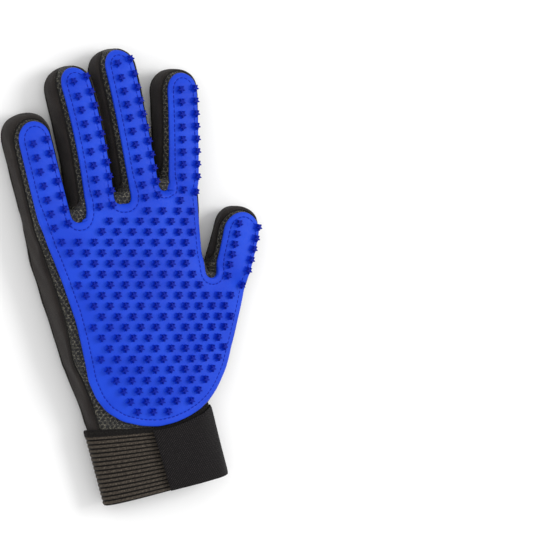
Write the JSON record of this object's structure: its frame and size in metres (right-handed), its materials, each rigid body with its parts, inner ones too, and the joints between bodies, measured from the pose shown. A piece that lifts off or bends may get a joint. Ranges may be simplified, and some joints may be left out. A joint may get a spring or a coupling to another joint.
{
  "type": "grooming glove",
  "caption": "Full-hand pet grooming glove lying palm up: nubbed silicone pad over palm and fingers on mesh, stretch back, ribbed elastic cuff, hook-and-loop wrist strap.",
  "frame": {"origin": "centre of the bounding box at the surface the glove lies on", "axes": "+Z out of the palm, +Y from the cuff towards the fingertips, +X towards the thumb side"},
  "size_m": [0.1468, 0.2366, 0.0303],
  "materials": {
    "stretch": "black stretch fabric",
    "elastic": "black ribbed elastic",
    "hook": "black hook fastener tape",
    "mesh": "black air-mesh layer",
    "silicone": "matt blue silicone pad with star nubs",
    "loop": "black loop fastener tape",
    "webbing": "black woven tape"
  },
  "bodies": {
    "palm": {"back_panel": "stretch", "cuff_band": "elastic", "index_side": "stretch", "little_side": "stretch", "loop_patch": "loop", "palm_mesh": "mesh", "palm_pad": "silicone", "strap_anchor": "webbing", "thumb_gusset": "stretch", "web_little_ring": "stretch", "web_middle_index": "stretch", "web_ring_middle": "stretch", "wrist_binding": "webbing"},
    "pinky_base": {"pinky_base_sleeve": "stretch", "pinky_base_mesh": "mesh", "pinky_base_pad": "silicone"},
    "pinky_mid": {"pinky_mid_sleeve": "stretch", "pinky_mid_mesh": "mesh", "pinky_mid_pad": "silicone"},
    "pinky_tip": {"pinky_tip_sleeve": "stretch", "pinky_tip_mesh": "mesh", "pinky_tip_pad": "silicone"},
    "ring_base": {"ring_base_sleeve": "stretch", "ring_base_mesh": "mesh", "ring_base_pad": "silicone"},
    "ring_mid": {"ring_mid_sleeve": "stretch", "ring_mid_mesh": "mesh", "ring_mid_pad": "silicone"},
    "ring_tip": {"ring_tip_sleeve": "stretch", "ring_tip_mesh": "mesh", "ring_tip_pad": "silicone"},
    "middle_base": {"middle_base_sleeve": "stretch", "middle_base_mesh": "mesh", "middle_base_pad": "silicone"},
    "middle_mid": {"middle_mid_sleeve": "stretch", "middle_mid_mesh": "mesh", "middle_mid_pad": "silicone"},
    "middle_tip": {"middle_tip_sleeve": "stretch", "middle_tip_mesh": "mesh", "middle_tip_pad": "silicone"},
    "index_base": {"index_base_sleeve": "stretch", "index_base_mesh": "mesh", "index_base_pad": "silicone"},
    "index_mid": {"index_mid_sleeve": "stretch", "index_mid_mesh": "mesh", "index_mid_pad": "silicone"},
    "index_tip": {"index_tip_sleeve": "stretch", "index_tip_mesh": "mesh", "index_tip_pad": "silicone"},
    "thumb_mid": {"thumb_mid_sleeve": "stretch", "thumb_mid_mesh": "mesh", "thumb_mid_pad": "silicone"},
    "thumb_tip": {"thumb_tip_sleeve": "stretch", "thumb_tip_mesh": "mesh", "thumb_tip_pad": "silicone"},
    "strap": {"strap_tab": "webbing", "hook_patch": "hook"}
  },
  "joints": [
    {"name": "pinky_base_bend", "type": "hinge", "parent": "palm", "child": "pinky_base", "pos_m": [-0.04974, 0.029, 0.0249], "axis": [0.9659, 0.2588, 0], "range_deg": [0, 60]},
    {"name": "pinky_mid_bend", "type": "hinge", "parent": "pinky_base", "child": "pinky_mid", "pos_m": [-0.05542, 0.05067, 0.02379], "axis": [0.9686, 0.2488, 0], "range_deg": [0, 60]},
    {"name": "pinky_tip_bend", "type": "hinge", "parent": "pinky_mid", "child": "pinky_tip", "pos_m": [-0.05905, 0.06502, 0.02305], "axis": [0.9703, 0.2421, 0], "range_deg": [0, 36]},
    {"name": "ring_base_bend", "type": "hinge", "parent": "palm", "child": "ring_base", "pos_m": [-0.02514, 0.03941, 0.0261], "axis": [0.9936, 0.1132, 0], "range_deg": [0, 60]},
    {"name": "ring_mid_bend", "type": "hinge", "parent": "ring_base", "child": "ring_mid", "pos_m": [-0.02965, 0.06825, 0.0246], "axis": [0.9807, 0.1957, 0], "range_deg": [0, 60]},
    {"name": "ring_tip_bend", "type": "hinge", "parent": "ring_mid", "child": "ring_tip", "pos_m": [-0.03461, 0.08962, 0.02348], "axis": [0.9665, 0.2566, 0], "range_deg": [0, 36]},
    {"name": "middle_base_bend", "type": "hinge", "parent": "palm", "child": "middle_base", "pos_m": [0.00086, 0.0443, 0.0261], "axis": [0.9863, 0.165, 0], "range_deg": [0, 60]},
    {"name": "middle_mid_bend", "type": "hinge", "parent": "middle_base", "child": "middle_mid", "pos_m": [-0.0042, 0.07205, 0.02475], "axis": [0.981, 0.1941, 0], "range_deg": [0, 60]},
    {"name": "middle_tip_bend", "type": "hinge", "parent": "middle_mid", "child": "middle_tip", "pos_m": [-0.00855, 0.0928, 0.02373], "axis": [0.9764, 0.2158, 0], "range_deg": [0, 36]},
    {"name": "index_base_bend", "type": "hinge", "parent": "palm", "child": "index_base", "pos_m": [0.02397, 0.0485, 0.0255], "axis": [0.9994, -0.0349, 0], "range_deg": [0, 60]},
    {"name": "index_mid_bend", "type": "hinge", "parent": "index_base", "child": "index_mid", "pos_m": [0.02437, 0.068, 0.02453], "axis": [1, -0.0065, 0], "range_deg": [0, 60]},
    {"name": "index_tip_bend", "type": "hinge", "parent": "index_mid", "child": "index_tip", "pos_m": [0.02422, 0.0875, 0.02355], "axis": [0.9998, 0.0218, 0], "range_deg": [0, 36]},
    {"name": "thumb_mid_bend", "type": "hinge", "parent": "palm", "child": "thumb_mid", "pos_m": [0.05496, 0.00231, 0.0201], "axis": [0.9455, -0.3256, 0], "range_deg": [0, 50]},
    {"name": "thumb_tip_bend", "type": "hinge", "parent": "thumb_mid", "child": "thumb_tip", "pos_m": [0.05992, 0.01867, 0.01953], "axis": [0.9672, -0.2542, 0], "range_deg": [0, 55]},
    {"name": "strap_peel", "type": "hinge", "parent": "palm", "child": "strap", "pos_m": [0.03884, -0.08773, 0.02111], "axis": [-0.2838, 0.9589, 0], "range_deg": [0, 150]}
  ],
  "couplings": [
    {"joint": "pinky_tip_bend", "follows": "pinky_mid_bend", "ratio": 0.6},
    {"joint": "ring_tip_bend", "follows": "ring_mid_bend", "ratio": 0.6},
    {"joint": "middle_tip_bend", "follows": "middle_mid_bend", "ratio": 0.6},
    {"joint": "index_tip_bend", "follows": "index_mid_bend", "ratio": 0.6}
  ]
}
